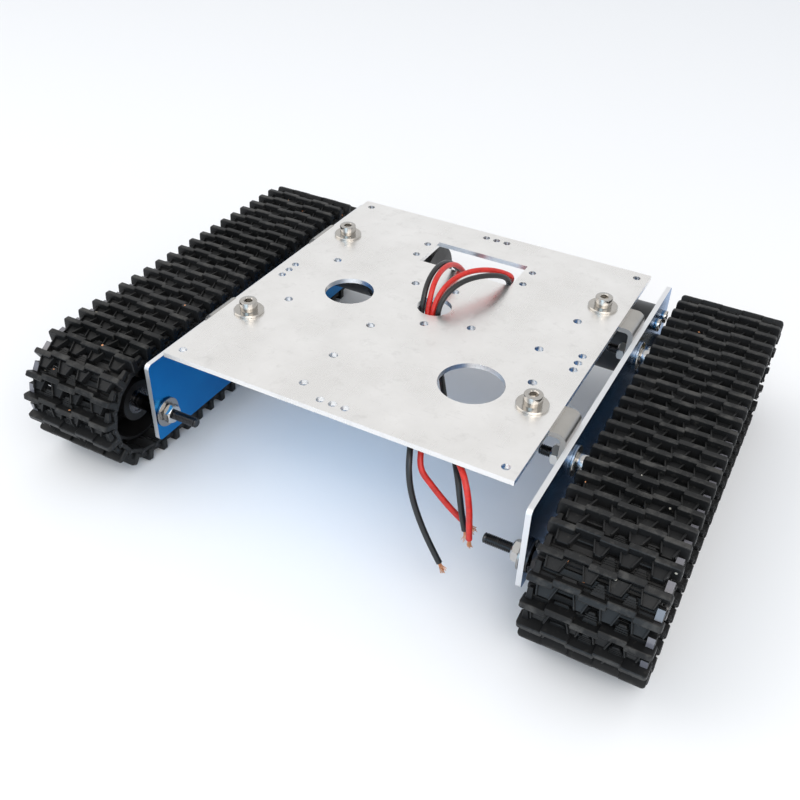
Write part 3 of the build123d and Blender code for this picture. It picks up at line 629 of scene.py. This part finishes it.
def bracket_fasteners(group):
    """The bolts through side plate and bracket, with a washer each side and a nut inside."""
    plate_in, plate_out = side_plate_faces()
    inside = plate_in - BRACKET_T - WASHER_T
    z = middle("bracket_bolts")[2]
    bolts = group("bracket_cap_bolts", "steel_black", "bracket_bolts")
    discs = group("bracket_plain_washers", "steel_bright", "bracket_washers")
    nuts = group("bracket_hex_nuts", "zinc_nut", "bracket_nuts")
    for side, y in [(side, y) for side in (-1, 1) for y in deck_screw_spots()[1]]:
        add_cap_screw(bolts, sideways(side, plate_out + WASHER_T, y, z), M4, BRACKET_BOLT_L)
        add_washer(discs, sideways(side, plate_out, y, z))
        add_washer(discs, sideways(side, inside, y, z), BRACKET_WASHER_R)
        add_nut(nuts, sideways(side, inside - NUT_T, y, z))


def axle_fasteners(group):
    """The idlers' long bolts, clamped to the side plates by two nuts, and their sleeves, painted black
    for the shade inside the idlers.
    """
    plate_in, plate_out = side_plate_faces()
    y, z = middle("axle_bolts")[1:]
    low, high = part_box("axle_bolts")
    head_x = min(abs(low[0]), high[0]) - M4.head_h
    bolts = group("axle_cap_bolts", "steel_black", "axle_bolts")
    discs = group("axle_plain_washers", "steel_bright", "axle_washers")
    nuts = group("axle_hex_nuts", "zinc_nut", "axle_nuts")
    for side in (-1, 1):
        add_cap_screw(bolts, sideways(side, head_x, y, z), M4, head_x - AXLE_TIP_X, AXLE_PLAIN_L)
        for x, outer in ((plate_in - WASHER_T, WASHER_R), (plate_out, WASHER_R),
                         (head_x - WASHER_T, AXLE_END_WASHER_R)):
            add_washer(discs, sideways(side, x, y, z), outer)
        for x in (plate_in - WASHER_T - NUT_T, plate_out + WASHER_T):
            add_nut(nuts, sideways(side, x, y, z))
    for name, side in SIDES:
        node = f"axle_spacer_{name}"
        low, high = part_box(node)
        # Painted shade: the sleeves take the black oxide finish so that they read dark, standing for
        # the shade between side plate and idler.
        tube = group(f"axle_tube_{name}", "steel_black", node)
        place = sideways(side, inner_x(node, side), y, z)
        add_washer(tube, place, outer=(high[2] - low[2]) / 2, thick=high[0] - low[0])


def gearbox_fasteners(group):
    """Four small screws from outside each side plate into its gearbox."""
    screws = group("gearbox_cap_screws", "steel_bright", "gearbox_screws")
    plate_out = side_plate_faces()[1]
    motor_y, motor_z = middle("motor_can_right")[1:]
    for side, turn in [(side, radians(angle)) for side in (-1, 1) for angle in GEARBOX_SCREW_ANGLES]:
        y, z = motor_y + GEARBOX_SCREWS_R * cos(turn), motor_z + GEARBOX_SCREWS_R * sin(turn)
        add_cap_screw(screws, sideways(side, plate_out, y, z), M3, GEARBOX_SCREW_L)


def sprocket_fasteners(group):
    """The screw and washer that hold each sprocket, and turn with it."""
    for name, side in SIDES:
        node, body = f"sprocket_washer_{name}", f"sprocket_{name}"
        y, z = middle(node)[1:]
        seat = inner_x(node, side)
        washer = group(f"sprocket_plain_washer_{name}", "steel_bright", node, body)
        add_washer(washer, sideways(side, seat, y, z))
        screw = group(f"sprocket_cap_screw_{name}", "steel_bright", f"sprocket_screw_{name}", body)
        add_cap_screw(screw, sideways(side, seat + WASHER_T, y, z), M4, SPROCKET_SCREW_L)


def painted_shade_splits():
    """The fasteners painted bright on one side of a side plate and black on the other: painted light
    and shade, not two real finishes.
    """
    plate_out = side_plate_faces()[1]
    bright, grey, black = (0.58, 0.57, 0.555), (0.33, 0.32, 0.305), (0.050, 0.050, 0.052)
    head_x = plate_out + WASHER_T
    return {
        # Painted light and shade: the bolt's head outside the plate is bright and its threaded end
        # inside is black, a contrast one bolt's steel does not have.
        "bracket_cap_bolts": painted_shade_split_metal("bracket_bolt_painted_light_shade", black, bright, head_x, 0.24),
        # Painted shade: the axle washers and nuts outside the plates are black for the shade they sit
        # in; inside, the washer is a darker grey and the nut bright.
        "axle_plain_washers": painted_shade_split_metal("axle_washer_painted_shade", grey, black, plate_out, 0.24),
        "axle_hex_nuts": painted_shade_split_metal("axle_nut_painted_shade", bright, black, plate_out, 0.13),
    }


def make_fasteners(materials):
    """Every screw, nut and washer, in place of the plain CAD ones."""
    pieces = {}

    def group(name, slot, node, body="root"):
        """The bmesh of a new piece, which will stand for a CAD node."""
        pieces[name] = (bmesh.new(), slot, node, body)
        return pieces[name][0]

    for make in (deck_fasteners, bracket_fasteners, axle_fasteners, gearbox_fasteners,
                 sprocket_fasteners):
        make(group)
    split = painted_shade_splits()
    for name, (bm, slot, node, body) in pieces.items():
        mesh = finish_mesh(bm, name, smooth_angle=32.0)
        new_object(name, mesh, split.get(name, materials[slot]), node, body)


# ---- tracks: millimetres; a link's own frame is u across, v along the track and w outward -----
LINKS = 53
PIN_CURVE_R = 20.0
TRACK_HALF = 21.25
EASE = 0.18                         # bevel on the edges of a link's solids
CLEAT_STEPS, CLEAT_LOW, CLEAT_TOP, CLEAT_HALF, CLEAT_DRAFT = 5, 0.4, 6.0, 1.5, 0.26
CLEAT_STAGGER, CLEAT_OVERLAP, CLEAT_CORNER_R = 0.6, 0.25, 1.2
BASE_IN, BASE_OUT = -20.7, 18.6     # the cleats reach past the link's base
BASE_SPAN, BASE_TOP = (-3.0, 3.0), 0.55
UNDER, LANE_UNDER = -1.25, -0.3     # underside of a link, and over the sprocket's teeth
LANE_IN, LANE_OUT = 11.0, 15.1
BARREL_R, BARREL_SIDES = 1.25, 14
# Plates with one width: span across, span along, underside, top and bevel.
CLEAT_FOOT = ((-19.6, 19.6), (-1.9, 1.9), 0.3, 2.0, 0.3)
PIN_COVER = ((-18.0, 18.0), (2.8, 4.9), 0.65, 1.25, 0.1)
FLAT_IN, FLAT_TOP = 17.9, 3.1
EDGE_FLAT = ((FLAT_IN, 20.5), (0.8, 4.7), 0.4, FLAT_TOP, 0.12)
# Across the track, root and tip of each tapered tongue, which trails, and arm, which leads.
TONGUES = [((-17.9, -10.8), (-17.2, -12.4)), ((-6.4, -0.6), (-4.9, -2.0)),
           ((2.0, 9.0), (3.3, 7.3)), ((11.9, 18.4), (13.1, 17.2))]
ARMS = [((-20.2, -18.0), (-19.9, -18.3)), ((-1.9, 3.2), (-0.3, 1.6)), ((7.7, 12.8), (9.0, 11.4))]
SHORT_ARM = ((-11.6, -6.0), (-11.2, -6.6))
# Where they run along the track, their underside, and their top at root and tip.
TONGUE_RUN, TONGUE_LOW, TONGUE_TOPS = (-0.8, -5.5), 1.3, (3.6, 3.1)
ARM_RUN, ARM_LOW, ARM_TOPS = (0.8, 4.9), 1.3, (3.4, 2.9)
SHORT_ARM_RUN, SHORT_ARM_LOW, SHORT_ARM_TOPS = (0.8, 2.9), 0.4, (2.4, 2.0)
RIM_W, RIM_LOW, RIM_TOPS = 0.6, 2.2, (4.4, 4.0)
# Ribs across the wider arms, each a little lower than the last.
RIBS, RIB_AT, RIB_STEP, RIB_W = 3, 2.2, 0.75, 0.3
RIB_LOW, RIB_TOPS, RIB_FALL = 2.4, (3.55, 3.5), 0.12
# Across the track, the hinge barrels about the pin behind a link and the pin ahead of it.
TRAILING = [(-17.8, -15.3), (-5.0, -2.0), (3.3, 7.4), (15.3, 17.6)]
LEADING = [(-20.7, -18.3), (-0.4, 1.7), (9.0, 10.8), (18.0, 20.2)]

SPINS = {joint["name"]: [part / MM for part in joint["pos_m"]] for joint in frame["joints"]}
TRACK_X, DRIVE_Y, AXLE_Z = SPINS["sprocket_right_spin"]
IDLER_Y = SPINS["idler_right_spin"][1]
WHEELBASE = DRIVE_Y - IDLER_Y
PITCH = (2 * WHEELBASE + 2 * pi * PIN_CURVE_R) / LINKS


def pin_place(distance):
    """Y and Z of the pins' path, a distance along it from the idler's top, going rearward."""
    arc = pi * PIN_CURVE_R
    distance = distance % (2 * WHEELBASE + 2 * arc)
    if distance < WHEELBASE:
        return IDLER_Y + distance, AXLE_Z + PIN_CURVE_R
    if distance < WHEELBASE + arc:
        turn = (distance - WHEELBASE) / PIN_CURVE_R
        return DRIVE_Y + PIN_CURVE_R * sin(turn), AXLE_Z + PIN_CURVE_R * cos(turn)
    if distance < 2 * WHEELBASE + arc:
        return DRIVE_Y - (distance - WHEELBASE - arc), AXLE_Z - PIN_CURVE_R
    turn = (distance - 2 * WHEELBASE - arc) / PIN_CURVE_R
    return IDLER_Y - PIN_CURVE_R * sin(turn), AXLE_Z - PIN_CURVE_R * cos(turn)


def solid(points_low, points_high, ease=EASE):
    """A closed prism between two outlines with the same number of points, its edges bevelled."""
    bm = bmesh.new()
    low = [bm.verts.new(p) for p in points_low]
    high = [bm.verts.new(p) for p in points_high]
    count = len(low)
    bm.faces.new(low[::-1])
    bm.faces.new(high)
    for k in range(count):
        bm.faces.new((low[k], low[(k + 1) % count], high[(k + 1) % count], high[k]))
    bmesh.ops.recalc_face_normals(bm, faces=bm.faces)
    sharp = [edge for edge in bm.edges if edge.calc_face_angle(0.0) > radians(40)]
    bmesh.ops.bevel(bm, geom=sharp, offset=ease, segments=1, affect="EDGES", clamp_overlap=True)
    return bm


def slab(root, tip, run, low, tops, ease=EASE):
    """A tapered plate: its spans across at root and tip, from one to the other along run."""
    outline = [(root[0], run[0]), (root[1], run[0]), (tip[1], run[1]), (tip[0], run[1])]
    heights = (tops[0], tops[0], tops[1], tops[1])
    return solid([(u, v, low) for u, v in outline],
                 [(u, v, top) for (u, v), top in zip(outline, heights)], ease)


def plate(across, along, low, top, ease=EASE):
    """A plate with one width and one thickness."""
    return slab(across, across, along, low, (top, top), ease)


def knuckle(span, v):
    """A round hinge barrel about a pin."""
    turns = [2 * pi * k / BARREL_SIDES for k in range(BARREL_SIDES)]
    ends = [[(u, v + BARREL_R * cos(turn), BARREL_R * sin(turn)) for turn in turns] for u in span]
    return solid(*ends, 0.12)


def cleat_step(index):
    """One of the cleat's steps; the outer ones have a rounded top corner."""
    width = 2 * TRACK_HALF / CLEAT_STEPS
    first, last = index == 0, index == CLEAT_STEPS - 1
    left = -TRACK_HALF + index * width - (0.0 if first else CLEAT_OVERLAP)
    right = -TRACK_HALF + (index + 1) * width + (0.0 if last else CLEAT_OVERLAP)
    high, r = CLEAT_TOP, CLEAT_CORNER_R
    arc = [(cos(radians(angle)), sin(radians(angle))) for angle in (0, 22.5, 45, 67.5, 90)]
    outline = [(left, CLEAT_LOW), (right, CLEAT_LOW)]
    outline += [(right - r + r * c, high - r + r * s) for c, s in arc] if last else [(right, high)]
    outline += [(left + r - r * s, high - r + r * c) for c, s in arc] if first else [(left, high)]
    shift = CLEAT_STAGGER if index % 2 else -CLEAT_STAGGER
    faces = [[(u, shift + way * CLEAT_HALF * (1.0 - CLEAT_DRAFT * w / high), w) for u, w in outline]
             for way in (-1, 1)]
    return solid(*faces, 0.30)


def base_solids():
    """The link's base: three thick parts, and a thin one that bridges the sprocket's lanes."""
    parts = (((BASE_IN, -LANE_OUT), UNDER), ((-LANE_IN, LANE_IN), UNDER),
             ((LANE_OUT, BASE_OUT), UNDER), ((BASE_IN, BASE_OUT), LANE_UNDER))
    return [plate(across, BASE_SPAN, under, BASE_TOP) for across, under in parts]


def tongue_solids(root, tip):
    """A trailing tongue with a raised rim along each side."""
    rims = [[(end[0], end[0] + RIM_W) for end in (root, tip)],
            [(end[1] - RIM_W, end[1]) for end in (root, tip)]]
    return [slab(root, tip, TONGUE_RUN, TONGUE_LOW, TONGUE_TOPS),
            *[slab(*rim, TONGUE_RUN, RIM_LOW, RIM_TOPS, 0.12) for rim in rims]]


def rib_solids(root):
    """The ribs across a leading arm."""
    ribs = []
    for k in range(RIBS):
        v = RIB_AT + RIB_STEP * k
        spans = [(root[0] + inset, root[1] - inset) for inset in (0.5, 0.6)]
        tops = [top - RIB_FALL * k for top in RIB_TOPS]
        ribs.append(slab(*spans, (v, v + RIB_W), RIB_LOW, tops, 0.06))
    return ribs


def link_solids():
    """Every solid of one link."""
    solids = [cleat_step(index) for index in range(CLEAT_STEPS)]
    solids += base_solids()
    solids += [plate(*CLEAT_FOOT), plate(*PIN_COVER)]
    for root, tip in TONGUES:
        solids += tongue_solids(root, tip)
    solids += [slab(root, tip, ARM_RUN, ARM_LOW, ARM_TOPS) for root, tip in ARMS]
    for root, _ in ARMS[1:]:
        solids += rib_solids(root)
    solids.append(slab(*SHORT_ARM, SHORT_ARM_RUN, SHORT_ARM_LOW, SHORT_ARM_TOPS))
    solids += [knuckle(span, PITCH / 2) for span in LEADING]
    solids += [knuckle(span, -PITCH / 2) for span in TRAILING]
    solids.append(plate(*EDGE_FLAT))
    return solids


def join_solids(solids):
    """One closed mesh from overlapping solids."""
    first, others = None, bpy.data.collections.new("solids")
    bpy.context.scene.collection.children.link(others)
    for bm in solids:
        mesh = bpy.data.meshes.new("solid")
        bm.to_mesh(mesh)
        bm.free()
        piece = bpy.data.objects.new("solid", mesh)
        if first is None:
            first = piece
            bpy.context.scene.collection.objects.link(piece)
        else:
            others.objects.link(piece)
    union = first.modifiers.new("union", "BOOLEAN")
    union.operation, union.solver, union.use_self = "UNION", "EXACT", True
    union.operand_type, union.collection = "COLLECTION", others
    united = first.evaluated_get(bpy.context.evaluated_depsgraph_get())
    joined = bpy.data.meshes.new_from_object(united)
    for piece in [first, *others.objects]:
        bpy.data.meshes.remove(piece.data)
    bpy.data.collections.remove(others)
    return joined


def is_edge_flat(face):
    """Whether a face is the smooth top of the flat on the link's outer edge."""
    spot = face.calc_center_median()
    return spot.x > FLAT_IN + 0.1 and face.normal.z > 0.99 and abs(spot.z - FLAT_TOP) < 0.05


def link_mesh():
    """One link: its points, its faces, and which faces are glossy and carry a painted sheen."""
    joined = join_solids(link_solids())
    bm = bmesh.new()
    bm.from_mesh(joined)
    bm.normal_update()
    points = [vert.co.copy() for vert in bm.verts]
    faces = [[vert.index for vert in face.verts] for face in bm.faces]
    glossy = [float(is_edge_flat(face)) for face in bm.faces]
    bm.free()
    bpy.data.meshes.remove(joined)
    return points, faces, glossy


def make_track(name, side, link, materials):
    """One whole track: its link, set on each pair of pins, with its own tone and its crests lightened
    by wear and a painted highlight.
    """
    points, faces, glossy = link
    if side < 0:
        faces = [face[::-1] for face in faces]
    verts, polygons, tones = [], [], []
    for number in range(LINKS):
        (y0, z0), (y1, z1) = pin_place(number * PITCH), pin_place((number + 1) * PITCH)
        along = Vector((0, y1 - y0, z1 - z0)).normalized()
        out = Vector((0, z0 - z1, y1 - y0)).normalized()
        centre = Vector((side * TRACK_X, (y0 + y1) / 2, (z0 + z1) / 2))
        polygons += [[len(verts) + k for k in face] for face in faces]
        verts += [(centre + Vector((side * p.x, 0, 0)) + along * p.y + out * p.z) * MM for p in points]
        tones += [random.random()] * len(points)
    mesh = bpy.data.meshes.new(f"track_belt_{name}")
    mesh.from_pydata(verts, [], polygons)
    crests = [p.z / CLEAT_TOP for p in points] * LINKS
    for key, domain, values in (("tone", "POINT", tones), ("crest", "POINT", crests),
                                ("polish_and_sheen", "FACE", glossy * LINKS)):
        mesh.attributes.new(key, "FLOAT", domain).data.foreach_set("value", values)
    mesh.shade_smooth()
    mesh.set_sharp_from_angle(angle=radians(34))
    new_object(mesh.name, mesh, materials["track_plastic"], f"track_links_{name}")


# ---- studio ---------------------------------------------------------------------------------
HORIZON_TINT = (0.88, 0.96, 1.06)
OVERHEAD_TINT = (1.0, 1.0, 1.0)
FRONT_ROOM_TINT = (0.78, 0.84, 0.92)
KEY_TINT = (1.0, 0.93, 0.85)
WINDOW_TINT = (0.48, 0.77, 1.0)
PLATE_TINT = (0.12, 0.52, 1.0)      # what the blue side plates throw on the floor between them
ROOM_STRENGTH = 0.89
FLOOR_HALF = 6.0
# Name, place, aim, size, power and tint of each light.
LIGHTS = (
    ("front_top", (0.40, -0.85, 1.05), (0, 0, 0.03), 0.8, 4.2, KEY_TINT),
    ("right", (0.85, -0.60, 0.80), (0, 0, 0.03), 1.0, 4.6, KEY_TINT),
    ("left", (-0.90, -0.35, 0.85), (0, 0, 0.03), 1.0, 3.3, KEY_TINT),
    ("window", (0.05, -1.25, 0.32), (0, 0, 0.02), 0.8, 3.2, WINDOW_TINT),
    ("plate_glow", (-0.01, -0.05, 0.045), (-0.01, -0.06, 0), 0.09, 0.010, PLATE_TINT),
)


def make_floor():
    """A wide pale floor."""
    bm = bmesh.new()
    bmesh.ops.create_grid(bm, x_segments=1, y_segments=1, size=FLOOR_HALF)
    mesh = finish_mesh(bm, "floor")
    floor = bpy.data.objects.new("floor", mesh)
    bpy.context.scene.collection.objects.link(floor)
    shader = Shader("floor_paper", (0.85, 0.87, 0.90), 0.55, Specular_IOR_Level=0.25)
    mesh.materials.append(shader.material)


def area_light(name, at, aim, size, power, tint):
    """A square soft light at a place, turned to another."""
    data = bpy.data.lights.new(name, "AREA")
    data.shape, data.size, data.energy, data.color = "SQUARE", size, power, tint
    light = bpy.data.objects.new(name, data)
    light.location = at
    light.rotation_euler = (Vector(aim) - Vector(at)).to_track_quat("-Z", "Y").to_euler()
    bpy.context.scene.collection.objects.link(light)


def make_studio():
    """A pale room, cooler toward the horizon and in front, and its lights."""
    world = bpy.data.worlds.new("studio")
    bpy.context.scene.world = world
    world.use_nodes = True
    room = Nodes(world.node_tree)
    background = world.node_tree.nodes["Background"]
    way = room.split(room.node("ShaderNodeTexCoord").outputs["Generated"])
    upper = room.mix(room.span(way["Y"], -0.75, -0.25), FRONT_ROOM_TINT, OVERHEAD_TINT)
    tint = room.mix(room.span(way["Z"], 0.02, 0.36), HORIZON_TINT, upper)
    room.link(tint, background.inputs["Color"])
    background.inputs["Strength"].default_value = ROOM_STRENGTH
    for light in LIGHTS:
        area_light(*light)
    settings = bpy.context.scene.view_settings
    settings.view_transform, settings.look = "Standard", "None"


make_camera()
finishes = make_materials()
make_leads(finishes)
dress_nodes(finishes)
make_fasteners(finishes)
one_link = link_mesh()
for side_name, side_sign in SIDES:
    make_track(side_name, side_sign, one_link, finishes)
make_floor()
make_studio()
